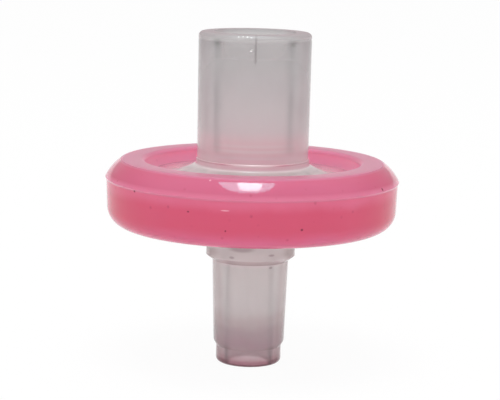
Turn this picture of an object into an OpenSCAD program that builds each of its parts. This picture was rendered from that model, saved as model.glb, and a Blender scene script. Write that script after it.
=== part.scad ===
// Syringe filter with an overmoulded sealing ring.
// It stands upright on the end of its outlet: the origin is the middle of that end, and +Z
// runs up the axis through the outlet, the membrane and the inlet socket.
// Each turned form is a half section in the plane of radius and height, spun round +Z.

/* [Inlet hub] */
// Outside diameter of the hub at its rim
hub_d = 6.5; // [6.2:0.05:7.2]
// Draft that the hub's outside loses in radius over its height
hub_draft = 0.03; // [0:0.01:0.08]
// Radius of the rounding round the outside of the rim
rim_round = 0.28; // [0.1:0.02:0.4]
// Diameter of the socket at the top of its taper, just below the lead-in
socket_mouth_d = 4.3; // [4.1:0.01:4.4]
// Depth of the socket from the rim to its floor
socket_depth = 6.75; // [5:0.05:8]
// Thickness of the socket's floor, down to the roof of the inlet chamber
socket_floor_t = 2.08; // [1.2:0.02:3]
// Width of the lead-in chamfer at the socket's mouth
lead_in_w = 0.22; // [0.1:0.01:0.3]
// Depth of the lead-in chamfer
lead_in_h = 0.42; // [0.2:0.02:0.8]
// Diameter of the hole from the socket's floor to the membrane
inlet_hole_d = 1.7; // [1.2:0.1:2.4]

/* [Outlet] */
// Taper of both Luer cones, as diameter lost over length
luer_taper = 0.06; // [0.05:0.005:0.07]
// Diameter of the nose below the Luer cone
nose_d = 3.8; // [3.6:0.01:3.9]
// Height of the nose, up to the foot of its shoulder
nose_h = 1; // [0.6:0.05:1.6]
// Height of the sloped shoulder between the nose and the Luer cone
shoulder_h = 0.3; // [0.1:0.05:0.5]
// Radius of the rounding at the end of the nose
nose_round = 0.25; // [0.1:0.01:0.3]
// Diameter of the Luer cone at its lower, small end
cone_small_d = 4.12; // [4:0.01:4.2]
// Length of the Luer cone, up to the collar
cone_h = 5; // [4:0.05:6.5]
// Diameter of the collar above the Luer cone
collar_d = 5.17; // [4.9:0.01:6.4]
// Height of the collar, up to the outlet flange
collar_h = 2.9; // [2.6:0.05:4]
// Radius of the rounding round the lower edge of the collar
collar_round = 0.12; // [0.05:0.01:0.2]
// Radius of the fillet between the collar and the outlet flange
collar_fillet = 0.45; // [0.2:0.05:0.8]
// Diameter of the outlet bore
outlet_bore_d = 2.5; // [2:0.05:2.7]
// Diameter of the drain hole in the middle of the membrane's support
drain_hole_d = 1.6; // [1:0.1:1.9]

/* [Flanges and membrane] */
// Diameter of the membrane
membrane_d = 13; // [12:0.1:25]
// Thickness of the membrane
membrane_t = 0.16; // [0.1:0.01:0.24]
// Gap round the edge of the membrane, inside the weld face
membrane_gap = 0.06; // [0.02:0.01:0.12]
// Width of the land that clamps the membrane's edge
clamp_land_w = 0.55; // [0.3:0.05:0.9]
// Width of both flanges outside the membrane's edge, where they are welded
weld_w = 0.7; // [0.5:0.05:1.5]
// Thickness of the inlet flange above the membrane
inlet_flange_t = 0.84; // [0.7:0.02:1.2]
// Thickness of the outlet flange below the membrane
outlet_flange_t = 0.94; // [0.8:0.02:1.3]
// Width of the raised skirt on the flange, round the foot of the hub
skirt_w = 1.08; // [0.6:0.02:1.6]
// Height of the skirt's outer edge above the flange at the ring
skirt_rise = 0.16; // [0.06:0.01:0.3]
// Height of the hollow cone from the skirt's edge up to the hub
skirt_cone_h = 0.46; // [0.3:0.01:0.6]
// Depth of the hollow in that cone
skirt_hollow = 0.09; // [0.02:0.01:0.14]

/* [Flow ribs] */
// Depth of the inlet chamber above the membrane
chamber_depth = 0.2; // [0.14:0.01:0.3]
// Number of long spreading ribs in the inlet chamber
spreader_n = 8; // [4:1:12]
// Width of each spreading rib
spreader_w = 0.3; // [0.2:0.05:0.4]
// Gap between the spreading ribs and the membrane
spreader_gap = 0.05; // [0.02:0.01:0.08]
// Depth of the drain channels under the membrane
drain_depth = 0.2; // [0.1:0.01:0.3]
// Width of each ring-shaped support rib
support_w = 0.34; // [0.25:0.01:0.4]
// Distance from one support rib to the next
support_pitch = 0.82; // [0.7:0.02:1]
// Number of radial channels that cut the support ribs
channel_n = 8; // [4:1:12]
// Width of each radial channel
channel_w = 0.5; // [0.3:0.05:0.7]

/* [Sealing ring] */
// Thickness of the ring outside the flanges, at its parting lip
ring_wall_t = 1.3; // [1.1:0.05:2.5]
// Distance that the parting lip stands proud of the side wall
lip_proud = 0.06; // [0.03:0.01:0.12]
// Height of the small slope below the parting lip
lip_h = 0.1; // [0.05:0.01:0.2]
// Height of the parting lip above the bottom of the ring
lip_z = 2.82; // [2.5:0.02:3.2]
// Draft that the side wall loses in radius below the lip
ring_draft = 0.06; // [0:0.01:0.12]
// Radius of the rounding round the bottom of the ring
ring_round = 1.13; // [0.6:0.01:1.2]
// Thickness of the ring's lower lip, below the outlet flange
lower_lip_t = 1.12; // [0.9:0.02:1.5]
// Thickness of the ring's upper lip, above the inlet flange
upper_lip_t = 0.8; // [0.6:0.02:1]
// Distance from the parting lip in to the edge of the flat crest
crest_in = 1.1; // [0.8:0.05:1.3]
// Radius of the rounding between the crest and the bevel
crest_round = 0.45; // [0.2:0.05:0.6]
// Angle that the crest turns through before the bevel, in degrees
crest_turn = 36; // [20:1:45]
// Distance that the crowned bevel bulges out from a straight slope
bevel_crown = 0.08; // [0.04:0.01:0.14]
// Width by which the upper lip covers the inlet flange
upper_grip = 1.3; // [1:0.05:1.6]
// Width by which the lower lip covers the outlet flange
lower_grip = 1.2; // [1:0.05:1.6]
// Width that each opening's sloping wall gains on its way out
open_flare = 0.3; // [0.1:0.02:0.5]
// Radius of the rounding where each opening meets the ring's face
open_round = 0.3; // [0.15:0.01:0.4]

/* [Hidden] */

// Steps in each rounded corner, and facets round each turned form
corner_steps = 6;
crown_steps = 8;
round_facets = 120;
// Overlap that joins a rib to the wall that carries it
bite = 0.05;
// Height by which a cutter passes the face that it cuts
cut_past = 1;

natural_pp = [0.86, 0.84, 0.84, 0.75];
membrane_white = [0.97, 0.97, 0.96];
ring_pink = [0.86, 0.44, 0.56];

// Heights, from the end of the nose upwards
shoulder_z = nose_h;
cone_z = nose_h + shoulder_h;
collar_z = cone_z + cone_h;
outlet_flange_z = collar_z + collar_h;
membrane_z = outlet_flange_z + outlet_flange_t;
drain_floor_z = membrane_z - drain_depth;
chamber_z = membrane_z + membrane_t;
flange_top_z = chamber_z + inlet_flange_t;
chamber_roof_z = chamber_z + chamber_depth;
socket_floor_z = chamber_roof_z + socket_floor_t;
rim_z = socket_floor_z + socket_depth;
ring_z = outlet_flange_z - lower_lip_t;
ring_lip_z = ring_z + lip_z;
crest_z = flange_top_z + upper_lip_t;

// Radii that more than one piece shares
flange_r = membrane_d / 2 + weld_w;
weld_r = membrane_d / 2 + membrane_gap;
well_r = membrane_d / 2 - clamp_land_w;
cone_large_r = cone_small_d / 2 + cone_h * luer_taper / 2;
socket_mouth_r = socket_mouth_d / 2;
socket_floor_r = socket_mouth_r - (socket_depth - lead_in_h) * luer_taper / 2;
hub_r = hub_d / 2;
hub_foot_r = hub_r - hub_draft;
hub_foot_z = flange_top_z + skirt_rise + skirt_cone_h;
upper_open_r = flange_r - upper_grip;
lower_open_r = flange_r - lower_grip;
support_n = floor((well_r - drain_hole_d / 2 - support_w) / support_pitch);

// Points along an arc round centre c from angle a0 to a1, ends included
function arc(c, r, a0, a1, steps) =
    [for (i = [0 : steps]) c + r * [cos(a0 + (a1 - a0) * i / steps), sin(a0 + (a1 - a0) * i / steps)]];

// Points along a shallow curve from p to q that bulges by rise to the right of its travel,
// which is outwards on an outline that runs anticlockwise
function bulge(p, q, rise, steps) =
    let (side = [q.y - p.y, p.x - q.x] / norm(q - p))
    [for (i = [0 : steps]) let (t = i / steps) p + (q - p) * t + side * rise * 4 * t * (1 - t)];

// Spins a half section round +Z
module turned(section) {
    rotate_extrude($fn = round_facets) polygon(section);
}

// Copies its children n times round +Z
module round_axis(n, start = 0) {
    for (i = [0 : n - 1]) rotate([0, 0, start + i * 360 / n]) children();
}

// A straight rib or channel along +X, from radius r0 to r1 and from height z0 to z1
module radial_bar(r0, r1, width, z0, z1) {
    translate([r0, -width / 2, z0]) cube([r1 - r0, width, z1 - z0]);
}

// Hub with the female Luer socket, the flange over the membrane and the chamber in its underside
function inlet_section() = concat(
    [[inlet_hole_d / 2, chamber_roof_z], [well_r, chamber_roof_z], [well_r, chamber_z],
     [weld_r, chamber_z], [weld_r, membrane_z], [flange_r, membrane_z],
     [flange_r, flange_top_z], [upper_open_r, flange_top_z]],
    bulge([hub_r + skirt_w, flange_top_z + skirt_rise], [hub_foot_r, hub_foot_z],
          -skirt_hollow, corner_steps),
    arc([hub_r - rim_round, rim_z - rim_round], rim_round, 0, 90, corner_steps),
    [[socket_mouth_r + lead_in_w, rim_z], [socket_mouth_r, rim_z - lead_in_h],
     [socket_floor_r, socket_floor_z], [inlet_hole_d / 2, socket_floor_z]]
);

// Ribs under the chamber's roof that spread the flow over the membrane
module spreaders() {
    rib_z = chamber_z + spreader_gap;
    long_r = inlet_hole_d / 2 + spreader_w;
    short_r = (long_r + well_r) / 2;
    round_axis(spreader_n)
        radial_bar(long_r, well_r + bite, spreader_w, rib_z, chamber_roof_z + bite);
    round_axis(spreader_n, 180 / spreader_n)
        radial_bar(short_r, well_r + bite, spreader_w, rib_z, chamber_roof_z + bite);
}

module inlet_housing() {
    color(natural_pp) {
        turned(inlet_section());
        spreaders();
    }
}

module membrane() {
    color(membrane_white)
        translate([0, 0, membrane_z]) cylinder(d = membrane_d, h = membrane_t, $fn = round_facets);
}

// Nose, Luer cone, collar and flange, with the outlet bore and the well under the membrane
function outlet_section() = concat(
    [[outlet_bore_d / 2, 0]],
    arc([nose_d / 2 - nose_round, nose_round], nose_round, -90, 0, corner_steps),
    [[nose_d / 2, shoulder_z], [cone_small_d / 2, cone_z], [cone_large_r, collar_z]],
    arc([collar_d / 2 - collar_round, collar_z + collar_round], collar_round, -90, 0, corner_steps),
    arc([collar_d / 2 + collar_fillet, outlet_flange_z - collar_fillet], collar_fillet,
        180, 90, corner_steps),
    [[flange_r, outlet_flange_z], [flange_r, membrane_z], [well_r, membrane_z],
     [well_r, drain_floor_z], [drain_hole_d / 2, drain_floor_z], [drain_hole_d / 2, outlet_flange_z],
     [outlet_bore_d / 2, outlet_flange_z - (outlet_bore_d - drain_hole_d) / 2]]
);

// Ring-shaped ribs that hold the membrane up, cut through by radial drain channels
module supports() {
    difference() {
        for (i = [0 : support_n - 1]) {
            outer_r = well_r - support_pitch * (i + 1) + support_w;
            turned([[outer_r - support_w, drain_floor_z - bite], [outer_r, drain_floor_z - bite],
                    [outer_r, membrane_z], [outer_r - support_w, membrane_z]]);
        }
        round_axis(channel_n)
            radial_bar(0, well_r, channel_w, drain_floor_z, membrane_z + cut_past);
    }
}

module outlet_housing() {
    color(natural_pp) {
        turned(outlet_section());
        supports();
    }
}

// Ring moulded round both flanges, with a crowned bevel above its parting lip
function ring_section() =
    let (lip_r = flange_r + ring_wall_t, wall_r = lip_r - lip_proud, foot_r = wall_r - ring_draft,
         upper_r = upper_open_r + open_flare, lower_r = lower_open_r + open_flare,
         crest = arc([lip_r - crest_in, crest_z - crest_round], crest_round,
                     90 - crest_turn, 90, corner_steps))
    concat(
        [[lower_open_r, outlet_flange_z]],
        arc([lower_r + open_round, ring_z + open_round], open_round, 180, 270, corner_steps),
        arc([foot_r - ring_round, ring_z + ring_round], ring_round, -90, 0, corner_steps),
        [[wall_r, ring_lip_z - lip_h]],
        bulge([lip_r, ring_lip_z], crest[0], bevel_crown, crown_steps),
        [for (i = [1 : corner_steps]) crest[i]],
        arc([upper_r + open_round, crest_z - open_round], open_round, 90, 180, corner_steps),
        [[upper_open_r, flange_top_z], [flange_r, flange_top_z], [flange_r, outlet_flange_z]]
    );

module sealing_ring() {
    color(ring_pink) turned(ring_section());
}

inlet_housing();
membrane();
outlet_housing();
sealing_ring();
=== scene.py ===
"""Looks of a syringe filter with an overmoulded ring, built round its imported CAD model.

Lengths are written in millimetres and turned to metres by mm(). The two housings and the ring are
spun from half sections by Geometry Nodes, which also add the flow ribs; the membrane stays as packed.
"""
import math

import bpy
from mathutils import Matrix, Vector


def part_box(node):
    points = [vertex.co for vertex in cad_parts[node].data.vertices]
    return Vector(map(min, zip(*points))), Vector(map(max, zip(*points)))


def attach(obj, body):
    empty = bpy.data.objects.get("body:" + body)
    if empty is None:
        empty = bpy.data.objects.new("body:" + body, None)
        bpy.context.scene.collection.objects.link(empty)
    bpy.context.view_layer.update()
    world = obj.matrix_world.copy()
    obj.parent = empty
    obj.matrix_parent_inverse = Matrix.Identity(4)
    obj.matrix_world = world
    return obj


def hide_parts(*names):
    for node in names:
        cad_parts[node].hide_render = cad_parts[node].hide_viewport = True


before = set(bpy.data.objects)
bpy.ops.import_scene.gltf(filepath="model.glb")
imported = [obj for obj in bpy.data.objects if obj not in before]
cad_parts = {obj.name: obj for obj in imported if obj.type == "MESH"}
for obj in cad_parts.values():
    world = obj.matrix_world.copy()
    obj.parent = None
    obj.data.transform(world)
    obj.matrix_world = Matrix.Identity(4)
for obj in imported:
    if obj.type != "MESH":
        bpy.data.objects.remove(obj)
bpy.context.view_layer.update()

MM = 0.001
FULL_TURN = 2 * math.pi


def mm(value):
    """Metres from millimetres."""
    return value * MM


def box_mm(node):
    """Lowest and highest corner of a CAD node, in millimetres."""
    low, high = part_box(node)
    return Vector(low) / MM, Vector(high) / MM


def hex_colour(code):
    """Linear RGBA from an sRGB hex value such as "#E07A9B"."""
    channels = [int(code[i:i + 2], 16) / 255 for i in (1, 3, 5)]
    linear = [c / 12.92 if c <= 0.04045 else ((c + 0.055) / 1.055) ** 2.4 for c in channels]
    return (*linear, 1.0)


def add(tree, kind, inputs=None, **settings):
    """Adds a node. Settings are its properties; inputs are values or the sockets to link in."""
    node = tree.nodes.new(kind)
    for name, value in settings.items():
        setattr(node, name, value)
    for key, value in (inputs or {}).items():
        if isinstance(value, bpy.types.NodeSocket):
            tree.links.new(value, node.inputs[key])
        else:
            node.inputs[key].default_value = value
    return node


# ---------------------------------------------------------------- sizes, in millimetres

ring_low, ring_high = box_mm("sealing_ring")
inlet_high = box_mm("inlet_housing")[1]
film_low, film_high = box_mm("membrane")

LIP_R = ring_high.x        # parting lip of the ring
FLANGE_R = inlet_high.x    # edge of both flanges, inside the ring
MEMBRANE_R = film_high.x
MEMBRANE_Z = film_low.z    # underside of the membrane, on the support ribs
CHAMBER_Z = film_high.z    # top of the membrane
RIM_Z = inlet_high.z

LUER_SLOPE = 0.03          # radius lost for each mm of a Luer cone
CLAMPED_W = 0.55           # edge of the membrane that the flanges hold
MEMBRANE_GAP = 0.06        # room round the membrane's edge
INLET_FLANGE_H = 0.84      # above the membrane
OUTLET_FLANGE_H = 0.94     # below the membrane
CHAMBER_H = 0.2
DRAIN_H = 0.2
SOCKET_FLOOR_H = 2.08      # from the chamber's roof to the bottom of the Luer socket
WELL_R = MEMBRANE_R - CLAMPED_W
WELD_R = MEMBRANE_R + MEMBRANE_GAP
FLANGE_TOP_Z = CHAMBER_Z + INLET_FLANGE_H
CHAMBER_ROOF_Z = CHAMBER_Z + CHAMBER_H
SOCKET_FLOOR_Z = CHAMBER_ROOF_Z + SOCKET_FLOOR_H
OUTLET_FLANGE_Z = MEMBRANE_Z - OUTLET_FLANGE_H
DRAIN_FLOOR_Z = MEMBRANE_Z - DRAIN_H

HUB_R = 3.25
HUB_DRAFT = 0.03
RIM_ROUND = 0.28
SOCKET_MOUTH_R = 2.15
LEAD_IN_W = 0.22
LEAD_IN_H = 0.42
MOUTH_Z = RIM_Z - LEAD_IN_H
INLET_HOLE_R = 0.85
SKIRT_W = 1.22             # of the coned skirt round the hub
SKIRT_EDGE_H = 0.12
SKIRT_RISE = 0.38
SKIRT_HOLLOW = 0.02
SKIRT_R = HUB_R + SKIRT_W
SKIRT_Z = FLANGE_TOP_Z + SKIRT_EDGE_H
HUB_FOOT_Z = SKIRT_Z + SKIRT_RISE
FOOT_FILLET = 0.13         # between the skirt and the bead round the hub's foot
WALL_FOOT_Z = HUB_FOOT_Z + FOOT_FILLET
BEAD_PROUD = 0.05
BEAD_H = 0.2
BEAD_BEVEL_H = 0.09
BEAD_CROWN = 0.01
BEAD_TOP_Z = WALL_FOOT_Z + BEAD_H
UPPER_GRIP = 1.3           # width of each flange's edge that the ring holds
LOWER_GRIP = 1.2
UPPER_OPEN_R = FLANGE_R - UPPER_GRIP
LOWER_OPEN_R = FLANGE_R - LOWER_GRIP

NOSE_R = 1.9
NOSE_H = 1.0
SHOULDER_H = 0.3
NOSE_ROUND = 0.25
CONE_SMALL_R = 2.06
CONE_H = 5.0
COLLAR_R = 2.585
COLLAR_CONE_H = 0.3        # height of the collar's coned underside
COLLAR_SINK = 0.21         # the part of it that is below the end of the Luer cone
COLLAR_FILLET = 0.45
OUTLET_BORE_R = 1.25
DRAIN_HOLE_R = 0.8

LIP_RISE = 2.82            # from the ring's underside to its parting lip
LIP_PROUD = 0.06
LIP_H = 0.1
LIP_Z = ring_low.z + LIP_RISE
RING_DRAFT = 0.06
RING_ROUND = 1.13
CREST_IN = 1.1
CREST_ROUND = 0.45
CREST_TURN = math.radians(36)
BEVEL_CROWN = 0.08
OPEN_FLARE = 0.3
OPEN_ROUND = 0.3

SPREADERS = 8              # long spreading ribs, with a short one between each two
SPREADER_W = 0.3
SPREADER_GAP = 0.05
SUPPORT_W = 0.34
SUPPORT_PITCH = 0.82
CHANNELS = 8
CHANNEL_W = 0.5
BITE = 0.05                # overlap that joins a rib to what carries it
CUTTER_SPARE = 1.0         # how far a cutter stands out of what it cuts

TURN_STEPS = 192           # faces round each spun piece
CORNER_STEPS = 8           # faces in a rounded corner
MERGE_WITHIN = 0.0005
SHARP_EDGE = math.radians(28)


# ---------------------------------------------------------------- half sections

def arc(centre, radius, start, end, steps=CORNER_STEPS):
    """Points on an arc; start and end are in degrees."""
    angles = [math.radians(start + (end - start) * i / steps) for i in range(steps + 1)]
    return [(centre[0] + radius * math.cos(a), centre[1] + radius * math.sin(a)) for a in angles]


def bulge(start, end, rise, steps=CORNER_STEPS):
    """Points on a shallow curve that bulges to the right of its travel."""
    along = Vector(end) - Vector(start)
    side = Vector((along.y, -along.x)).normalized()
    shares = [i / steps for i in range(steps + 1)]
    return [tuple(Vector(start) + along * t + side * rise * 4 * t * (1 - t)) for t in shares]


def inlet_section():
    """Hub, flange and chamber roof, anticlockwise in the plane of radius and height."""
    foot_r = HUB_R - HUB_DRAFT
    bead_r = foot_r + BEAD_PROUD
    floor_r = SOCKET_MOUTH_R - LUER_SLOPE * (MOUTH_Z - SOCKET_FLOOR_Z)
    return (
        [(INLET_HOLE_R, CHAMBER_ROOF_Z), (WELL_R, CHAMBER_ROOF_Z), (WELL_R, CHAMBER_Z),
         (WELD_R, CHAMBER_Z), (WELD_R, MEMBRANE_Z), (FLANGE_R, MEMBRANE_Z),
         (FLANGE_R, FLANGE_TOP_Z), (UPPER_OPEN_R, FLANGE_TOP_Z)]
        + bulge((SKIRT_R, SKIRT_Z), (bead_r + FOOT_FILLET, HUB_FOOT_Z), -SKIRT_HOLLOW)
        + arc((bead_r + FOOT_FILLET, WALL_FOOT_Z), FOOT_FILLET, 250, 180)
        + bulge((bead_r, BEAD_TOP_Z), (foot_r, BEAD_TOP_Z + BEAD_BEVEL_H), BEAD_CROWN)
        + arc((HUB_R - RIM_ROUND, RIM_Z - RIM_ROUND), RIM_ROUND, 0, 90)
        + [(SOCKET_MOUTH_R + LEAD_IN_W, RIM_Z), (SOCKET_MOUTH_R, MOUTH_Z),
           (floor_r, SOCKET_FLOOR_Z), (INLET_HOLE_R, SOCKET_FLOOR_Z)]
    )


def outlet_section():
    """Nose, Luer cone, collar and flange, anticlockwise."""
    cone_z = NOSE_H + SHOULDER_H
    collar_z = cone_z + CONE_H
    cone_large_r = CONE_SMALL_R + LUER_SLOPE * CONE_H
    underside_z = collar_z - COLLAR_SINK
    bore_top_z = OUTLET_FLANGE_Z - (OUTLET_BORE_R - DRAIN_HOLE_R)
    return (
        [(OUTLET_BORE_R, 0)]
        + arc((NOSE_R - NOSE_ROUND, NOSE_ROUND), NOSE_ROUND, -90, 0)
        + [(NOSE_R, NOSE_H), (CONE_SMALL_R, cone_z), (cone_large_r, underside_z),
           (COLLAR_R, underside_z + COLLAR_CONE_H)]
        + arc((COLLAR_R + COLLAR_FILLET, OUTLET_FLANGE_Z - COLLAR_FILLET), COLLAR_FILLET, 180, 90)
        + [(FLANGE_R, OUTLET_FLANGE_Z), (FLANGE_R, MEMBRANE_Z), (WELL_R, MEMBRANE_Z),
           (WELL_R, DRAIN_FLOOR_Z), (DRAIN_HOLE_R, DRAIN_FLOOR_Z), (DRAIN_HOLE_R, OUTLET_FLANGE_Z),
           (OUTLET_BORE_R, bore_top_z)]
    )


def ring_section():
    """C-shaped section of the ring, anticlockwise, with its crowned bevel above the parting lip."""
    wall_r = LIP_R - LIP_PROUD
    foot_r = wall_r - RING_DRAFT
    upper_r = UPPER_OPEN_R + OPEN_FLARE
    lower_r = LOWER_OPEN_R + OPEN_FLARE
    low_z, crest_z = ring_low.z, ring_high.z
    crest = arc((LIP_R - CREST_IN, crest_z - CREST_ROUND), CREST_ROUND,
                90 - math.degrees(CREST_TURN), 90)
    return (
        [(LOWER_OPEN_R, OUTLET_FLANGE_Z)]
        + arc((lower_r + OPEN_ROUND, low_z + OPEN_ROUND), OPEN_ROUND, 180, 270)
        + arc((foot_r - RING_ROUND, low_z + RING_ROUND), RING_ROUND, -90, 0, 2 * CORNER_STEPS)
        + [(wall_r, LIP_Z - LIP_H)]
        + bulge((LIP_R, LIP_Z), crest[0], BEVEL_CROWN, 2 * CORNER_STEPS)
        + crest[1:]
        + arc((upper_r + OPEN_ROUND, crest_z - OPEN_ROUND), OPEN_ROUND, 90, 180)
        + [(UPPER_OPEN_R, FLANGE_TOP_Z), (FLANGE_R, FLANGE_TOP_Z), (FLANGE_R, OUTLET_FLANGE_Z)]
    )


# ---------------------------------------------------------------- geometry trees

def new_tree(name, sizes):
    """A geometry tree with a named input for each size, given as name: default."""
    tree = bpy.data.node_groups.new(name, "GeometryNodeTree")
    tree.interface.new_socket("Geometry", in_out="INPUT", socket_type="NodeSocketGeometry")
    for label, value in sizes.items():
        kind = "NodeSocketInt" if isinstance(value, int) else "NodeSocketFloat"
        tree.interface.new_socket(label, in_out="INPUT", socket_type=kind).default_value = value
    tree.interface.new_socket("Geometry", in_out="OUTPUT", socket_type="NodeSocketGeometry")
    return tree, add(tree, "NodeGroupInput").outputs


def spin(tree, section, steps):
    """Spins the section's points, which lie in the XZ plane, round Z into a closed skin."""
    count = add(tree, "GeometryNodeAttributeDomainSize", {"Geometry": section}).outputs["Point Count"]
    rows = add(tree, "ShaderNodeMath", {0: steps, 1: 1.0}, operation="ADD").outputs[0]
    cols = add(tree, "ShaderNodeMath", {0: count, 1: 1.0}, operation="ADD").outputs[0]
    grid = add(tree, "GeometryNodeMeshGrid", {"Vertices X": rows, "Vertices Y": cols}).outputs["Mesh"]
    index = add(tree, "GeometryNodeInputIndex").outputs[0]
    turn_at = add(tree, "ShaderNodeMath", {0: index, 1: cols}, operation="DIVIDE").outputs[0]
    turn_at = add(tree, "ShaderNodeMath", {0: turn_at}, operation="FLOOR").outputs[0]
    point_at = add(tree, "ShaderNodeMath", {0: index, 1: cols}, operation="MODULO").outputs[0]
    point_at = add(tree, "ShaderNodeMath", {0: point_at, 1: count}, operation="MODULO").outputs[0]
    place = add(tree, "GeometryNodeInputPosition").outputs[0]
    point = add(tree, "GeometryNodeSampleIndex",
                {"Geometry": section, "Value": place, "Index": point_at},
                data_type="FLOAT_VECTOR").outputs[0]
    share = add(tree, "ShaderNodeMath", {0: turn_at, 1: steps}, operation="DIVIDE").outputs[0]
    angle = add(tree, "ShaderNodeMath", {0: share, 1: FULL_TURN}, operation="MULTIPLY").outputs[0]
    turned = add(tree, "ShaderNodeVectorRotate", {"Vector": point, "Angle": angle},
                 rotation_type="Z_AXIS").outputs[0]
    placed = add(tree, "GeometryNodeSetPosition", {"Geometry": grid, "Position": turned}).outputs[0]
    return add(tree, "GeometryNodeMergeByDistance",
               {"Geometry": placed, "Distance": mm(MERGE_WITHIN)}).outputs[0]


def round_axis(tree, piece, count, start=0.0):
    """Copies a piece count times round Z, the first one at the start angle."""
    spots = add(tree, "GeometryNodeMeshLine", {"Count": count, "Offset": (0, 0, 0)}).outputs[0]
    index = add(tree, "GeometryNodeInputIndex").outputs[0]
    share = add(tree, "ShaderNodeMath", {0: index, 1: count}, operation="DIVIDE").outputs[0]
    angle = add(tree, "ShaderNodeMath", {0: share, 1: FULL_TURN, 2: start},
                operation="MULTIPLY_ADD").outputs[0]
    turn = add(tree, "ShaderNodeCombineXYZ", {"Z": angle}).outputs[0]
    copies = add(tree, "GeometryNodeInstanceOnPoints",
                 {"Points": spots, "Instance": piece, "Rotation": turn}).outputs[0]
    return add(tree, "GeometryNodeRealizeInstances", {"Geometry": copies}).outputs[0]


def radial_bar(tree, start_r, end_r, width, low_z, high_z):
    """A straight bar along +X, in millimetres."""
    bar = add(tree, "GeometryNodeMeshCube",
              {"Size": (mm(end_r - start_r), mm(width), mm(high_z - low_z))}).outputs["Mesh"]
    middle = (mm((start_r + end_r) / 2), 0, mm((low_z + high_z) / 2))
    return add(tree, "GeometryNodeTransform", {"Geometry": bar, "Translation": middle}).outputs[0]


def combine(tree, operation, *solids):
    """Union of all the solids, or the first solid less the others."""
    combined = add(tree, "GeometryNodeMeshBoolean", operation=operation, solver="MANIFOLD")
    for number, solid in enumerate(solids):
        cut_from = operation == "DIFFERENCE" and number == 0
        tree.links.new(solid, combined.inputs["Mesh 1" if cut_from else "Mesh 2"])
    return combined.outputs["Mesh"]


def finish_tree(tree, solid, material):
    """Ends a tree with its solid as a plain mesh of that material."""
    real = add(tree, "GeometryNodeRealizeInstances", {"Geometry": solid}).outputs[0]
    painted = add(tree, "GeometryNodeSetMaterial", {"Geometry": real, "Material": material}).outputs[0]
    out = add(tree, "NodeGroupOutput")
    tree.links.new(painted, out.inputs[0])
    return tree


def ring_tree(material):
    """Spun ring."""
    tree, size = new_tree("Turned ring", {"Turn steps": TURN_STEPS})
    return finish_tree(tree, spin(tree, size["Geometry"], size["Turn steps"]), material)


def inlet_tree(material):
    """Spun housing with long and short spreading ribs under the chamber's roof."""
    tree, size = new_tree("Inlet housing", {"Turn steps": TURN_STEPS, "Spreaders": SPREADERS})
    housing = spin(tree, size["Geometry"], size["Turn steps"])
    low_z, high_z = CHAMBER_Z + SPREADER_GAP, CHAMBER_ROOF_Z + BITE
    long_r = INLET_HOLE_R + SPREADER_W
    short_r = (long_r + WELL_R) / 2
    long_bar = radial_bar(tree, long_r, WELL_R + BITE, SPREADER_W, low_z, high_z)
    short_bar = radial_bar(tree, short_r, WELL_R + BITE, SPREADER_W, low_z, high_z)
    long_bars = round_axis(tree, long_bar, size["Spreaders"])
    short_bars = round_axis(tree, short_bar, size["Spreaders"], math.pi / SPREADERS)
    return finish_tree(tree, combine(tree, "UNION", housing, long_bars, short_bars), material)


def outlet_tree(material):
    """Spun housing with ring-shaped ribs under the membrane, cut by radial drain channels."""
    ribs = int((WELL_R - DRAIN_HOLE_R - SUPPORT_W) / SUPPORT_PITCH)
    tree, size = new_tree("Outlet housing", {
        "Turn steps": TURN_STEPS, "Support ribs": ribs, "Channels": CHANNELS,
        "Rib pitch": mm(SUPPORT_PITCH), "Rib width": mm(SUPPORT_W)})
    housing = spin(tree, size["Geometry"], size["Turn steps"])
    low_z, high_z = DRAIN_FLOOR_Z - BITE, MEMBRANE_Z
    spots = add(tree, "GeometryNodeMeshLine",
                {"Count": size["Support ribs"], "Start Location": (0, 0, mm((low_z + high_z) / 2)),
                 "Offset": (0, 0, 0)}).outputs[0]
    index = add(tree, "GeometryNodeInputIndex").outputs[0]
    outer_r = mm(WELL_R - SUPPORT_PITCH + SUPPORT_W / 2)
    step_in = add(tree, "ShaderNodeMath", {0: index, 1: size["Rib pitch"]},
                  operation="MULTIPLY").outputs[0]
    radius = add(tree, "ShaderNodeMath", {0: outer_r, 1: step_in}, operation="SUBTRACT").outputs[0]
    circle = add(tree, "GeometryNodeCurvePrimitiveCircle",
                 {"Resolution": size["Turn steps"], "Radius": 1.0}, mode="RADIUS").outputs["Curve"]
    circles = add(tree, "GeometryNodeInstanceOnPoints",
                  {"Points": spots, "Instance": circle, "Scale": radius}).outputs[0]
    circles = add(tree, "GeometryNodeRealizeInstances", {"Geometry": circles}).outputs[0]
    section = add(tree, "GeometryNodeCurvePrimitiveQuadrilateral",
                  {"Width": size["Rib width"], "Height": mm(high_z - low_z)}).outputs[0]
    rings = add(tree, "GeometryNodeCurveToMesh",
                {"Curve": circles, "Profile Curve": section}).outputs[0]
    cutter = radial_bar(tree, 0, WELL_R, CHANNEL_W, DRAIN_FLOOR_Z, MEMBRANE_Z + CUTTER_SPARE)
    cutters = round_axis(tree, cutter, size["Channels"])
    supports = combine(tree, "DIFFERENCE", rings, cutters)
    return finish_tree(tree, combine(tree, "UNION", housing, supports), material)


# ---------------------------------------------------------------- materials

EVEN = "#BCBCBC"           # overlaid on a colour, this leaves it as it is
PLASTIC_IOR = 1.49
LAMP_SHARE = 0.85          # share of a lamp's light that a hazy wall lets past

FLOW_GRAIN = 1.6           # in mm, as the rest: of the haze that the melt leaves as it sets
FLOW_SWAY = 0.9            # how far the haze bends a band of colour
STREAK_GRAIN = 1.4
PIGMENT_GRAIN = 2.5        # of the pigment's slow swirls
PIGMENT_SWAY = 0.5
SPECK_PITCH = 0.5
MOULD_GRAIN = 0.5          # drawn coarser than the skin of a polished mould, so that it shows
RING_MOULD_GRAIN = 0.35    # drawn coarser too
PORE_PITCH = 0.08          # drawn coarser than the film's pores, so that they show


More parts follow.
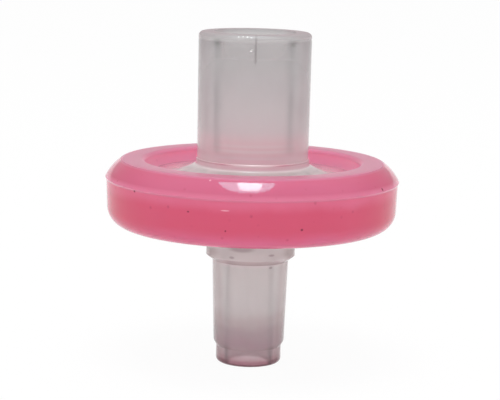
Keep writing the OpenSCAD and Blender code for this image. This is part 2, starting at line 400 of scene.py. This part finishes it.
def new_material(name):
    """An empty material and its node tree."""
    material = bpy.data.materials.new(name)
    material.use_nodes = True
    material.node_tree.nodes.clear()
    return material, material.node_tree


def surface(tree, shader, volume=None):
    """Ends a material with its shader and, for a see-through one, what fills it."""
    out = add(tree, "ShaderNodeOutputMaterial", {"Surface": shader})
    if volume is not None:
        tree.links.new(volume, out.inputs["Volume"])


def ramp(tree, value, stops):
    """A colour for each value: stops are (value, colour) pairs in rising order."""
    low, high = stops[0][0], stops[-1][0]
    share = add(tree, "ShaderNodeMapRange",
                {"Value": value, "From Min": low, "From Max": high}).outputs[0]
    node = add(tree, "ShaderNodeValToRGB", {"Fac": share})
    node.color_ramp.interpolation = "EASE"
    points = node.color_ramp.elements
    while len(points) < len(stops):
        points.new(0.5)
    for point, (at, colour) in zip(points, stops):
        point.position = (at - low) / (high - low)
        point.color = hex_colour(colour)
    return node.outputs["Color"]


def by_height(tree, height, stops):
    """A colour for each height: stops are (height in mm, colour) pairs in rising order."""
    return ramp(tree, height, [(mm(z), colour) for z, colour in stops])


def swayed(tree, height, noise, sway):
    """The height, moved up and down by a noise, so that a band of colour on it isn't level."""
    raised = add(tree, "ShaderNodeMath", {0: noise, 1: mm(sway), 2: height},
                 operation="MULTIPLY_ADD").outputs[0]
    return add(tree, "ShaderNodeMath", {0: raised, 1: mm(sway / 2)}, operation="SUBTRACT").outputs[0]


def marks(tree, axes, radius, places, strength=1.0, square=False):
    """The strength inside small marks, oval or square, on a round surface of that radius, and 0 outside.

    Each place is the angle round Z in degrees, the height, and half the width and the height in mm.
    """
    around = add(tree, "ShaderNodeMath", {0: axes["Y"], 1: axes["X"]}, operation="ARCTAN2").outputs[0]
    skin = add(tree, "ShaderNodeCombineXYZ", {"X": around, "Y": axes["Z"]}).outputs[0]
    total = 0.0
    for angle, height, half_w, half_h in places:
        scale = Vector((radius / half_w, 1 / mm(half_h), 0))
        shift = Vector((-math.radians(angle) * scale.x, -mm(height) * scale.y, 0))
        offset = add(tree, "ShaderNodeVectorMath", {0: skin, 1: scale, 2: shift},
                     operation="MULTIPLY_ADD").outputs[0]
        if square:
            sides = add(tree, "ShaderNodeVectorMath", {0: offset}, operation="ABSOLUTE").outputs[0]
            sides = add(tree, "ShaderNodeSeparateXYZ", {"Vector": sides}).outputs
            away = add(tree, "ShaderNodeMath", {0: sides["X"], 1: sides["Y"]},
                       operation="MAXIMUM").outputs[0]
        else:
            away = add(tree, "ShaderNodeVectorMath", {0: offset}, operation="LENGTH").outputs["Value"]
        inside = add(tree, "ShaderNodeMapRange",
                     {"Value": away, "From Min": 1.0, "From Max": 0.4, "To Max": strength},
                     interpolation_type="SMOOTHSTEP").outputs[0]
        total = add(tree, "ShaderNodeMath", {0: inside, 1: total}, operation="MAXIMUM").outputs[0]
    return total


def mix_shade(tree, share, first, second, blend="MIX"):
    """A colour between two; each is a socket or a hex value."""
    mixed = add(tree, "ShaderNodeMix", {"Factor": share}, data_type="RGBA", blend_type=blend)
    for name, colour in (("A", first), ("B", second)):
        if isinstance(colour, str):
            mixed.inputs[name].default_value = hex_colour(colour)
        else:
            tree.links.new(colour, mixed.inputs[name])
    return mixed.outputs["Result"]


def natural_polypropylene():
    """Uncoloured polypropylene, injection moulded: see-through in a thin wall, milky where it is thick,
    with painted light and shade in its colour.
    """
    material, tree = new_material("natural_polypropylene_moulded")
    place = add(tree, "ShaderNodeTexCoord").outputs["Object"]
    axes = add(tree, "ShaderNodeSeparateXYZ", {"Vector": place}).outputs
    flow = add(tree, "ShaderNodeTexNoise",
               {"Vector": place, "Scale": 1 / mm(FLOW_GRAIN), "Detail": 3.0}).outputs[0]
    bore_painted_shade = painted_bore_shade(tree, axes)
    # Painted highlights: small white spots standing in for glints off chips at the rim's front edge.
    painted_chip_glints = marks(tree, axes, HUB_R, [
        (-107, 19.22, 0.07, 0.05), (-102.5, 19.24, 0.05, 0.05), (-98, 19.23, 0.08, 0.06),
        (-94, 19.2, 0.1, 0.04), (-94, 18.46, 0.1, 0.05)])
    colour = natural_tint_and_painted_light(tree, axes, flow)
    colour = skirt_streaks(tree, place, axes, colour)
    knit_line = marks(tree, axes, HUB_R, [(-89.3, 18.55, 0.09, 1.05)], 0.4, square=True)
    colour = mix_shade(tree, knit_line, colour, "#7A7072")
    # Painted shade: the dark lines along the bores.
    colour = mix_shade(tree, bore_painted_shade, colour, "#5E5557")
    # Painted shade: dark patches and ticks on the collar.
    collar_painted_shade = marks(tree, axes, COLLAR_R, [
        (-102, 7.12, 1.0, 0.28), (-114.5, 6.58, 0.22, 0.1), (-62.2, 6.74, 0.26, 0.09),
        (-57.7, 5.94, 0.2, 0.1)], 0.4)
    colour = mix_shade(tree, collar_painted_shade, colour, "#86606A")
    # Painted shade across the front of the hub's foot.
    foot_painted_shade = marks(tree, axes, HUB_R, [(-90, HUB_FOOT_Z - 0.08, 3.2, 0.14)], 0.5)
    colour = mix_shade(tree, foot_painted_shade, colour, "#B8ACAB")
    # Painted highlight: a pale oval on the front of the bead round the hub's foot.
    bead_painted_highlight = marks(tree, axes, HUB_R, [(-90, BEAD_TOP_Z + 0.04, 1.9, 0.17)])
    colour = mix_shade(tree, bead_painted_highlight, colour, "#FFE9EC")
    colour = mix_shade(tree, painted_chip_glints, colour, "#FFFFFF")
    clearness = by_height(tree, axes["Z"], [
        (0, "#C8C8C8"), (5.8, "#C8C8C8"), (6.5, "#A8A8A8"), (OUTLET_FLANGE_Z, "#A8A8A8"),
        (FLANGE_TOP_Z, "#B0B0B0"), (WALL_FOOT_Z - 0.3, "#A8A8A8"), (WALL_FOOT_Z - 0.1, "#606060"),
        (WALL_FOOT_Z + 0.1, "#808080"), (SOCKET_FLOOR_Z + 0.3, "#ACACAC"), (RIM_Z - 0.5, "#DFDFDF"),
        (RIM_Z - 0.2, "#A0A0A0"), (RIM_Z, "#A0A0A0")])
    # The painted glints and the painted bore shade let less light through.
    dulled = add(tree, "ShaderNodeMath", {0: bore_painted_shade, 1: painted_chip_glints}, operation="MAXIMUM").outputs[0]
    clearness = mix_shade(tree, dulled, clearness, "#000000")
    grain = add(tree, "ShaderNodeTexNoise",
                {"Vector": place, "Scale": 1 / mm(MOULD_GRAIN), "Detail": 2.0}).outputs[0]
    relief = add(tree, "ShaderNodeBump",
                 {"Height": grain, "Strength": 0.2, "Distance": mm(0.004)}).outputs[0]
    clear = add(tree, "ShaderNodeBsdfPrincipled", {
        "Base Color": colour, "Roughness": natural_roughness(tree, axes, flow), "IOR": PLASTIC_IOR,
        "Specular IOR Level": 0.3, "Transmission Weight": clearness, "Normal": relief}).outputs[0]
    fog = add(tree, "ShaderNodeVolumeAbsorption",
              {"Color": hex_colour("#8F8486"), "Density": 110.0}).outputs[0]
    surface(tree, let_light_through(tree, clear), fog)
    return material


def natural_roughness(tree, axes, flow):
    """Roughness of the natural plastic: hazed by its flow, and duller at the hub's foot and rim."""
    haze = add(tree, "ShaderNodeMapRange", {"Value": flow, "To Min": 0.08, "To Max": 0.18}).outputs[0]
    matt = by_height(tree, axes["Z"], [
        (0, "#000000"), (HUB_FOOT_Z - 0.05, "#000000"), (HUB_FOOT_Z, "#5C5C5C"),
        (BEAD_TOP_Z + 0.12, "#5C5C5C"), (BEAD_TOP_Z + 0.2, "#000000"), (RIM_Z - 0.35, "#000000"),
        (RIM_Z - 0.1, "#AAAAAA"), (RIM_Z, "#AAAAAA")])
    return add(tree, "ShaderNodeMath", {0: matt, 1: haze}, operation="ADD").outputs[0]


def natural_tint_and_painted_light(tree, axes, flow):
    """Colour of the natural plastic, with painted light: the pink ring's light on the flanges and the
    hub's foot, arcs, a darker nose and shaded sides.
    """
    # Painted shade: the nose darker and pinker towards its tip, swayed by the haze.
    nose_painted_shade = by_height(tree, swayed(tree, axes["Z"], flow, FLOW_SWAY), [
        (0, "#E6CED5"), (0.5, "#E8D3D8"), (0.9, "#ECDCDF"), (1.4, "#E5D0D7"), (2.05, "#E5D8DB"),
        (2.7, "#F3ECEC"), (3.6, "#FFFFFF"), (RIM_Z, "#FFFFFF")])
    # By height, with painted light: the ring's pink light round the flanges, a lighter band at the hub's
    # foot, painted shade on the bead's bevel, and a darker, pinker tip.
    colour = by_height(tree, axes["Z"], [
        (0, "#C89CA8"), (0.3, "#DCB8C1"), (0.45, "#F6EAEC"), (0.7, "#FFFAFB"),
        (5.9, "#FFFAF9"), (6.1, "#FFF2F4"), (6.3, "#FFF2F4"), (6.5, "#F6EEED"),
        (OUTLET_FLANGE_Z, "#F6EEED"), (FLANGE_TOP_Z - 0.2, "#F0A8BC"),
        (FLANGE_TOP_Z + 0.05, "#F0A8BC"), (FLANGE_TOP_Z + 0.12, "#F2E6E6"),
        (FLANGE_TOP_Z + 0.24, "#F2E4E4"), (FLANGE_TOP_Z + 0.36, "#E8D8DA"),
        (WALL_FOOT_Z - 0.14, "#DED2D2"), (WALL_FOOT_Z - 0.09, "#E6D9DB"),
        (WALL_FOOT_Z - 0.03, "#F2E0E3"), (WALL_FOOT_Z + 0.03, "#FFE4EA"),
        (BEAD_TOP_Z - 0.02, "#FFE4EA"), (BEAD_TOP_Z + 0.01, "#DEB8BF"),
        (BEAD_TOP_Z + 0.07, "#DEB8BF"), (BEAD_TOP_Z + 0.1, "#FFEEF0"),
        (SOCKET_FLOOR_Z - 0.3, "#FFEEF1"), (SOCKET_FLOOR_Z, "#FFE6EA"),
        (SOCKET_FLOOR_Z + 0.6, "#FBE6E9"), (SOCKET_FLOOR_Z + 1.5, "#F0E9EA"),
        (RIM_Z - 0.4, "#E6E4E4"), (RIM_Z, "#CBC6C7")])
    colour = mix_shade(tree, 1.0, colour, nose_painted_shade, "MULTIPLY")
    # Painted reflections: light and dark arcs at the hub's foot and above the socket floor, laid over the
    # colour where the surface faces the lens.
    painted_arcs = by_height(tree, axes["Z"], [
        (0, EVEN), (WALL_FOOT_Z, EVEN), (WALL_FOOT_Z + 0.03, "#A8A8A8"),
        (WALL_FOOT_Z + 0.36, "#BC7085"), (WALL_FOOT_Z + 0.52, "#BC7085"),
        (WALL_FOOT_Z + 0.64, "#FFC0C8"), (SOCKET_FLOOR_Z + 0.05, "#B0B0B0"),
        (SOCKET_FLOOR_Z + 0.22, "#D4D4D4"), (SOCKET_FLOOR_Z + 0.36, "#A4A4A4"),
        (SOCKET_FLOOR_Z + 0.5, "#CCCCCC"), (SOCKET_FLOOR_Z + 0.66, "#B0B0B0"),
        (SOCKET_FLOOR_Z + 1.0, EVEN), (RIM_Z, EVEN)])
    facing = add(tree, "ShaderNodeLayerWeight", {"Blend": 0.5}).outputs["Facing"]
    front = add(tree, "ShaderNodeMapRange",
                {"Value": facing, "From Min": 0.4, "From Max": 0.05}).outputs[0]
    colour = mix_shade(tree, front, colour, painted_arcs, "OVERLAY")
    # Painted shade: the colour is darkened where the surface turns away from the lens, most on the nose
    # and on the bead's bevel.
    side_on = ramp(tree, facing, [
        (0, "#000000"), (0.25, "#000000"), (0.5, "#B3B3B3"), (0.75, "#C4C4C4"), (0.92, "#FFFFFF")])
    side_painted_shade = by_height(tree, axes["Z"], [
        (0, "#FFF4F4"), (0.35, "#F8EAEA"), (0.6, "#D8C2C2"), (0.8, "#C8B2B0"),
        (OUTLET_FLANGE_Z, "#CCB6B4"), (WALL_FOOT_Z, "#FFFFFF"), (BEAD_TOP_Z - 0.02, "#FFFFFF"),
        (BEAD_TOP_Z + 0.01, "#DCC8CC"), (BEAD_TOP_Z + 0.08, "#DCC8CC"), (BEAD_TOP_Z + 0.12, "#FFFFFF"),
        (SOCKET_FLOOR_Z, "#FFFFFF"), (SOCKET_FLOOR_Z + 2.5, "#DACECE"), (RIM_Z - 2.2, "#E6D8DB"),
        (RIM_Z - 0.9, "#F2E2E6"), (RIM_Z, "#F6E8EB")])
    return mix_shade(tree, side_on, colour, side_painted_shade, "MULTIPLY")


def skirt_streaks(tree, place, axes, colour):
    """The colour with the grey streaks that the melt left in the thin skirt."""
    stretched = add(tree, "ShaderNodeVectorMath", {0: place, 1: (1, 1, 2)},
                    operation="MULTIPLY").outputs[0]
    streaks = add(tree, "ShaderNodeTexNoise", {
        "Vector": stretched, "Scale": 1 / mm(STREAK_GRAIN), "Detail": 3.0,
        "Distortion": 0.6}).outputs[0]
    streaks = add(tree, "ShaderNodeMapRange",
                  {"Value": streaks, "From Min": 0.45, "From Max": 0.65}).outputs[0]
    for start, end in ((HUB_FOOT_Z + 0.02, HUB_FOOT_Z - 0.04), (SKIRT_Z - 0.02, SKIRT_Z + 0.14)):
        on_skirt = add(tree, "ShaderNodeMapRange", {
            "Value": axes["Z"], "From Min": mm(start), "From Max": mm(end)}).outputs[0]
        streaks = add(tree, "ShaderNodeMath", {0: streaks, 1: on_skirt},
                      operation="MULTIPLY").outputs[0]
    return mix_shade(tree, streaks, colour, "#CCC5C4")


def painted_bore_shade(tree, axes):
    """Share of the painted shade: a soft dark line along each side of a bore, where the plastic stops
    showing through it.

    It is painted where light inside the plastic meets the bore's wall just past the critical angle, and a
    little further out in the wider socket.
    """
    here = add(tree, "ShaderNodeNewGeometry").outputs
    across = add(tree, "ShaderNodeCombineXYZ", {"X": axes["X"], "Y": axes["Y"]}).outputs[0]
    outward = add(tree, "ShaderNodeVectorMath", {0: here["Normal"], 1: across},
                  operation="DOT_PRODUCT").outputs["Value"]
    on_bore = add(tree, "ShaderNodeMath", {0: outward, 1: mm(0.3)}, operation="GREATER_THAN").outputs[0]
    on_bore = add(tree, "ShaderNodeMath", {0: on_bore, 1: here["Backfacing"]},
                  operation="MULTIPLY").outputs[0]
    facing = add(tree, "ShaderNodeLayerWeight", {"Blend": 0.5}).outputs["Facing"]
    further_out = add(tree, "ShaderNodeMapRange", {
        "Value": axes["Z"], "From Min": mm(OUTLET_FLANGE_Z), "From Max": mm(FLANGE_TOP_Z),
        "To Max": 0.035}).outputs[0]
    facing = add(tree, "ShaderNodeMath", {0: facing, 1: further_out}, operation="SUBTRACT").outputs[0]
    line = ramp(tree, facing, [
        (0.0, "#000000"), (0.17, "#000000"), (0.265, "#FFFFFF"), (0.29, "#FFFFFF"),
        (0.38, "#000000"), (1.0, "#000000")])
    strength = by_height(tree, axes["Z"], [
        (0, "#FFFFFF"), (1.0, "#FFFFFF"), (1.6, "#C8C8C8"), (OUTLET_FLANGE_Z, "#C8C8C8"),
        (SOCKET_FLOOR_Z - 0.1, "#D4D4D4"), (SOCKET_FLOOR_Z, "#FFFFFF"),
        (SOCKET_FLOOR_Z + 2.6, "#FFFFFF"), (SOCKET_FLOOR_Z + 3.5, "#D4D4D4"),
        (SOCKET_FLOOR_Z + 4.3, "#B4B4B4"), (SOCKET_FLOOR_Z + 5.1, "#989898"),
        (MOUTH_Z - 0.45, "#A8A8A8"), (MOUTH_Z - 0.25, "#F0F0F0"), (MOUTH_Z, "#FFFFFF"),
        (RIM_Z, "#000000")])
    line = add(tree, "ShaderNodeMath", {0: line, 1: strength}, operation="MULTIPLY").outputs[0]
    return add(tree, "ShaderNodeMath", {0: line, 1: on_bore}, operation="MULTIPLY").outputs[0]


def let_light_through(tree, shader):
    """The shader for all rays but a lamp's, most of whose light passes as it does through a hazy wall."""
    lamp_ray = add(tree, "ShaderNodeLightPath").outputs["Is Shadow Ray"]
    share = add(tree, "ShaderNodeMath", {0: lamp_ray, 1: LAMP_SHARE}, operation="MULTIPLY").outputs[0]
    passed = add(tree, "ShaderNodeBsdfTransparent", {"Color": hex_colour("#F4F0F0")}).outputs[0]
    return add(tree, "ShaderNodeMixShader", {0: share, 1: shader, 2: passed}).outputs[0]


def pink_polypropylene():
    """Pink-pigmented polypropylene, overmoulded: glossy, and deepest where the outer wall is thick, with
    painted light and shade in its colour.
    """
    material, tree = new_material("pink_polypropylene_overmoulded")
    place = add(tree, "ShaderNodeTexCoord").outputs["Object"]
    axes = add(tree, "ShaderNodeSeparateXYZ", {"Vector": place}).outputs
    across = add(tree, "ShaderNodeCombineXYZ", {"X": axes["X"], "Y": axes["Y"]}).outputs[0]
    radius = add(tree, "ShaderNodeVectorMath", {0: across}, operation="LENGTH").outputs["Value"]
    bevel_r = LIP_R - CREST_IN + CREST_ROUND * math.sin(CREST_TURN)
    crest = add(tree, "ShaderNodeMapRange", {
        "Value": radius, "From Min": mm(bevel_r + 0.06), "From Max": mm(bevel_r - 0.12)}).outputs[0]
    colour = pink_tint(tree, place, axes, radius, crest)
    colour = pigment_specks(tree, place, colour)
    pits = marks(tree, axes, LIP_R, [
        (-140, 10.78, 0.1, 0.08), (-30.7, 11.02, 0.1, 0.12), (-71, 9.28, 0.1, 0.09),
        (-114, 10.1, 0.09, 0.06), (-99.5, 9.18, 0.06, 0.07)])
    colour = mix_shade(tree, pits, colour, "#842840")
    scuffs = marks(tree, axes, LIP_R, [(-99.7, 10.3, 0.32, 0.05), (-107, 11.79, 0.09, 0.05)], 0.6)
    colour = mix_shade(tree, scuffs, colour, "#F6C3D1")
    rough = add(tree, "ShaderNodeMath", {0: crest, 1: 0.23, 2: 0.06},
                operation="MULTIPLY_ADD").outputs[0]
    grain = add(tree, "ShaderNodeTexNoise",
                {"Vector": place, "Scale": 1 / mm(RING_MOULD_GRAIN), "Detail": 2.0}).outputs[0]
    relief = add(tree, "ShaderNodeBump",
                 {"Height": grain, "Strength": 0.2, "Distance": mm(0.003)}).outputs[0]
    shader = add(tree, "ShaderNodeBsdfPrincipled", {
        "Base Color": colour, "Roughness": rough, "IOR": PLASTIC_IOR, "Specular IOR Level": 0.42,
        "Subsurface Weight": 0.35, "Subsurface Radius": (1.0, 0.45, 0.55),
        "Subsurface Scale": mm(0.7), "Normal": relief}).outputs[0]
    surface(tree, shader)
    return material


def pink_tint(tree, place, axes, radius, crest):
    """Colour of the ring: deep on its outer wall, duller on its bevel and crest, light at its opening,
    with painted light and shade on each.
    """
    swirl = add(tree, "ShaderNodeTexNoise",
                {"Vector": place, "Scale": 1 / mm(PIGMENT_GRAIN), "Detail": 4.0}).outputs[0]
    # Deepest where the outer wall is thick; lighter towards the bottom and just under the parting lip,
    # which is painted light.
    wall = by_height(tree, swayed(tree, axes["Z"], swirl, PIGMENT_SWAY), [
        (ring_low.z, "#D66A92"), (ring_low.z + 1.2, "#D95474"), (LIP_Z - 0.9, "#DA5475"),
        (LIP_Z - 0.2, "#E46C8E"), (RIM_Z, "#E46C8E")])
    # The bevel, and a paler crest that is a painted reflection of the grey surroundings.
    upper = mix_shade(tree, crest, "#D16889", "#D18DA8")
    above = add(tree, "ShaderNodeMath", {0: axes["Z"], 1: mm(LIP_Z)},
                operation="GREATER_THAN").outputs[0]
    colour = mix_shade(tree, above, wall, upper)
    # Painted shade: the ring is darkened where it turns away from the lens.
    facing = add(tree, "ShaderNodeLayerWeight", {"Blend": 0.5}).outputs["Facing"]
    side_on = add(tree, "ShaderNodeMapRange",
                  {"Value": facing, "From Min": 0.3, "From Max": 0.65}).outputs[0]
    colour = mix_shade(tree, side_on, colour, "#F8D8E0", "MULTIPLY")
    # Painted light: the inner wall at the opening is lighter, with painted shade near its top.
    inner = add(tree, "ShaderNodeMapRange", {
        "Value": radius, "From Min": mm(FLANGE_R - 0.75), "From Max": mm(FLANGE_R - 1.0)}).outputs[0]
    opening = by_height(tree, axes["Z"], [
        (0, "#F892B2"), (ring_high.z - 0.3, "#F892B2"), (ring_high.z - 0.1, "#E482A2"),
        (ring_high.z, "#E482A2")])
    colour = mix_shade(tree, inner, colour, opening)
    # Painted highlight: a paler line along the parting lip.
    lip_painted_highlight = add(tree, "ShaderNodeMapRange", {
        "Value": radius, "From Min": mm(LIP_R - 0.16), "From Max": mm(LIP_R - 0.04)}).outputs[0]
    over_wall = add(tree, "ShaderNodeMapRange", {
        "Value": axes["Z"], "From Min": mm(LIP_Z - 0.16), "From Max": mm(LIP_Z - 0.09)}).outputs[0]
    lip_painted_highlight = add(tree, "ShaderNodeMath", {0: lip_painted_highlight, 1: over_wall}, operation="MULTIPLY").outputs[0]
    return mix_shade(tree, lip_painted_highlight, colour, "#DA7896")


def pigment_specks(tree, place, colour):
    """The colour with a few darker specks of unmixed pigment, soft-edged."""
    specks = add(tree, "ShaderNodeTexVoronoi",
                 {"Vector": place, "Scale": 1 / mm(SPECK_PITCH)}).outputs
    dot = add(tree, "ShaderNodeMapRange", {
        "Value": specks["Distance"], "From Min": 0.24, "From Max": 0.05}).outputs[0]
    rare = add(tree, "ShaderNodeSeparateXYZ", {"Vector": specks["Color"]}).outputs["X"]
    rare = add(tree, "ShaderNodeMapRange", {
        "Value": rare, "From Min": 0.5, "From Max": 1.0, "To Max": 0.45}).outputs[0]
    dot = add(tree, "ShaderNodeMath", {0: dot, 1: rare}, operation="MULTIPLY").outputs[0]
    return mix_shade(tree, dot, colour, "#A83452")


def filter_film():
    """Cast polymer filter film: a matt, slightly uneven white."""
    material, tree = new_material("cast_filter_film")
    place = add(tree, "ShaderNodeTexCoord").outputs["Object"]
    pores = add(tree, "ShaderNodeTexNoise",
                {"Vector": place, "Scale": 1 / mm(PORE_PITCH), "Detail": 3.0}).outputs[0]
    colour = mix_shade(tree, pores, "#EFEDEB", "#F8F7F6")
    relief = add(tree, "ShaderNodeBump",
                 {"Height": pores, "Strength": 0.4, "Distance": mm(0.01)}).outputs[0]
    shader = add(tree, "ShaderNodeBsdfPrincipled",
                 {"Base Color": colour, "Roughness": 0.85, "Normal": relief}).outputs[0]
    surface(tree, shader)
    return material


# ---------------------------------------------------------------- pieces

def spun_piece(name, section, tree):
    """A finished mesh made from a half section by a geometry tree, smooth but for its sharp edges."""
    line = bpy.data.meshes.new(name + "_section")
    line.from_pydata([(mm(r), 0, mm(z)) for r, z in section], [], [])
    carrier = bpy.data.objects.new(name + "_section", line)
    bpy.context.collection.objects.link(carrier)
    carrier.modifiers.new("form", "NODES").node_group = tree
    solved = carrier.evaluated_get(bpy.context.evaluated_depsgraph_get())
    mesh = bpy.data.meshes.new_from_object(solved)
    bpy.data.objects.remove(carrier)
    mesh.name = name
    mesh.shade_smooth()
    mesh.set_sharp_from_angle(angle=SHARP_EDGE)
    piece = bpy.data.objects.new(name, mesh)
    bpy.context.collection.objects.link(piece)
    return piece


clear = natural_polypropylene()
pink = pink_polypropylene()

inlet = spun_piece("inlet_moulding", inlet_section(), inlet_tree(clear))
outlet = spun_piece("outlet_moulding", outlet_section(), outlet_tree(clear))
ring = spun_piece("ring_moulding", ring_section(), ring_tree(pink))
for piece, node, slot in ((inlet, "inlet_housing", "natural_polypropylene"),
                          (outlet, "outlet_housing", "natural_polypropylene"),
                          (ring, "sealing_ring", "pink_polypropylene")):
    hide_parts(node)
    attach(piece, "root")

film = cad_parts["membrane"]
film.data.materials.clear()
film.data.materials.append(filter_film())


# ---------------------------------------------------------------- camera, floor and light

VIEW_DISTANCE = 103.476    # from the lens to the filter's axis, level
VIEW_HEIGHT = 15.583       # of the lens above the parting lip
VIEW_PITCH = math.radians(9.289)
VIEW_ROLL = math.radians(1.3)
VIEW_ASIDE = -0.098        # how far the lens stands to the left
LENS = 129.9
SENSOR = 36.0
CLIP_NEAR = 5
CLIP_FAR = 5000
FLOOR_REACH = 900
PAPER_GLOW = 0.95          # share of the paper's white that a shadow can't dim
SWEEP_TOP = math.radians(6.4)     # where the white sweep behind the part begins to darken
WALL_FROM = math.radians(8.5)
WALL_TOP = math.radians(30)
CEILING_FROM = math.radians(45)
WALL = "#C2C2C2"
CEILING = "#EAEAEA"
BOX_RISE = 253             # of the soft box overhead above the parting lip
BOX_Y = -46
BOX_Z = LIP_Z + BOX_RISE
FILL_X = -9                # the lamp that lights, and isn't mirrored
FILL_STRIP = (2, 107, 125)     # a lamp's slide, width and depth
FILL_RADIANCE = 7.2
HALO_X = -9.5              # the box's face, which gloss mirrors
HALO_STRIPS = ((30.5, 110, 75), (-21, 101, 28), (-46.5, 88, 23), (-68, 54, 20))
HALO_RADIANCE = 7
HALO_TINT = "#A4F7FF"
CORE_X = -4.5              # the bright middle of that face
CORE_STRIPS = ((13.5, 48.5, 97), (-42, 39, 14))
CORE_RADIANCE = 13


def make_camera():
    """A long lens before the filter, a little above it and slightly rolled."""
    ahead = Vector((0, math.cos(VIEW_PITCH), -math.sin(VIEW_PITCH)))
    level_up = Vector((0, math.sin(VIEW_PITCH), math.cos(VIEW_PITCH)))
    right = Vector((math.cos(VIEW_ROLL), 0, 0)) + level_up * math.sin(VIEW_ROLL)
    up = right.cross(ahead)
    camera = bpy.data.objects.new("camera", bpy.data.cameras.new("camera"))
    camera.data.lens = LENS
    camera.data.sensor_width = SENSOR
    camera.data.clip_start = mm(CLIP_NEAR)
    camera.data.clip_end = mm(CLIP_FAR)
    stand = Vector((0, -mm(VIEW_DISTANCE), mm(LIP_Z + VIEW_HEIGHT))) + right * mm(VIEW_ASIDE)
    turn = Matrix((right, up, -ahead)).transposed()
    camera.matrix_world = Matrix.Translation(stand) @ turn.to_4x4()
    bpy.context.collection.objects.link(camera)
    bpy.context.scene.camera = camera


def seen_directly(tree):
    """1 for a ray that shows the surroundings as a picture, and 0 for one that only carries light."""
    path = add(tree, "ShaderNodeLightPath").outputs
    seen = add(tree, "ShaderNodeMath", {0: path["Is Camera Ray"], 1: path["Is Glossy Ray"]},
               operation="MAXIMUM").outputs[0]
    return add(tree, "ShaderNodeMath", {0: seen, 1: path["Is Transmission Ray"]},
               operation="MAXIMUM").outputs[0]


def paper_white():
    """Matt white paper, evenly lit: reads as white and keeps the faint shadow of what stands on it."""
    material, tree = new_material("matt_white_paper")
    share = add(tree, "ShaderNodeMath", {0: seen_directly(tree), 1: PAPER_GLOW},
                operation="MULTIPLY").outputs[0]
    paper = add(tree, "ShaderNodeBsdfDiffuse", {"Color": hex_colour("#FAFAFA")}).outputs[0]
    white = add(tree, "ShaderNodeEmission",
                {"Color": hex_colour("#FFFFFF"), "Strength": 1.0}).outputs[0]
    mixed = add(tree, "ShaderNodeMixShader", {0: share, 1: paper, 2: white}).outputs[0]
    surface(tree, mixed)
    return material


def make_floor():
    """The sheet of paper that the filter stands on."""
    mesh = bpy.data.meshes.new("floor")
    reach = mm(FLOOR_REACH)
    corners = [(-reach, -reach, 0), (reach, -reach, 0), (reach, reach, 0), (-reach, reach, 0)]
    mesh.from_pydata(corners, [], [(0, 1, 2, 3)])
    mesh.materials.append(paper_white())
    floor = bpy.data.objects.new("floor", mesh)
    bpy.context.collection.objects.link(floor)


def add_lamp(name, aside, strip, radiance, tint="#FFFFFF"):
    """One flat strip of the soft box overhead, which faces the filter.

    It stands that far aside, then slides along its own depth. Radiance is how bright its face looks.
    """
    slide, width, depth = strip
    lamp = bpy.data.lights.new(name, "AREA")
    lamp.shape = "RECTANGLE"
    lamp.size = mm(width)
    lamp.size_y = mm(depth)
    lamp.energy = radiance * math.pi * mm(width) * mm(depth)
    lamp.color = hex_colour(tint)[:3]
    away = Vector((aside, BOX_Y, BOX_Z - LIP_Z)).normalized()
    across = Vector((0, 1, 0)).cross(away).normalized()
    back = away.cross(across)
    stand = bpy.data.objects.new(name, lamp)
    at = (Vector((aside, BOX_Y, BOX_Z)) + back * slide) * MM
    stand.matrix_world = Matrix.Translation(at) @ Matrix((across, back, away)).transposed().to_4x4()
    bpy.context.collection.objects.link(stand)
    return stand


def make_world():
    """A white sweep that ends a little above the horizon, before a grey wall under a paler ceiling."""
    world = bpy.data.worlds.new("studio")
    world.use_nodes = True
    tree = world.node_tree
    tree.nodes.clear()
    look = add(tree, "ShaderNodeTexCoord").outputs["Generated"]
    height = add(tree, "ShaderNodeSeparateXYZ", {"Vector": look}).outputs["Z"]
    shade = ramp(tree, height, [
        (0.0, "#FFFFFF"), (math.sin(SWEEP_TOP), "#FFFFFF"), (math.sin(WALL_FROM), WALL),
        (math.sin(WALL_TOP), WALL), (math.sin(CEILING_FROM), CEILING), (1.0, CEILING)])
    sky = add(tree, "ShaderNodeBackground", {"Color": shade, "Strength": 1.0})
    add(tree, "ShaderNodeOutputWorld", {"Surface": sky.outputs[0]})
    bpy.context.scene.world = world


make_camera()
make_floor()
make_world()
fill = add_lamp("overhead_fill", FILL_X, FILL_STRIP, FILL_RADIANCE)
fill.visible_glossy = False
fill.visible_transmission = False
for number, strip in enumerate(HALO_STRIPS):
    halo = add_lamp("overhead_halo_%d" % number, HALO_X, strip, HALO_RADIANCE, HALO_TINT)
    halo.visible_diffuse = False
for number, strip in enumerate(CORE_STRIPS):
    core = add_lamp("overhead_core_%d" % number, CORE_X, strip, CORE_RADIANCE)
    core.visible_diffuse = False
bpy.context.scene.view_settings.view_transform = "Standard"
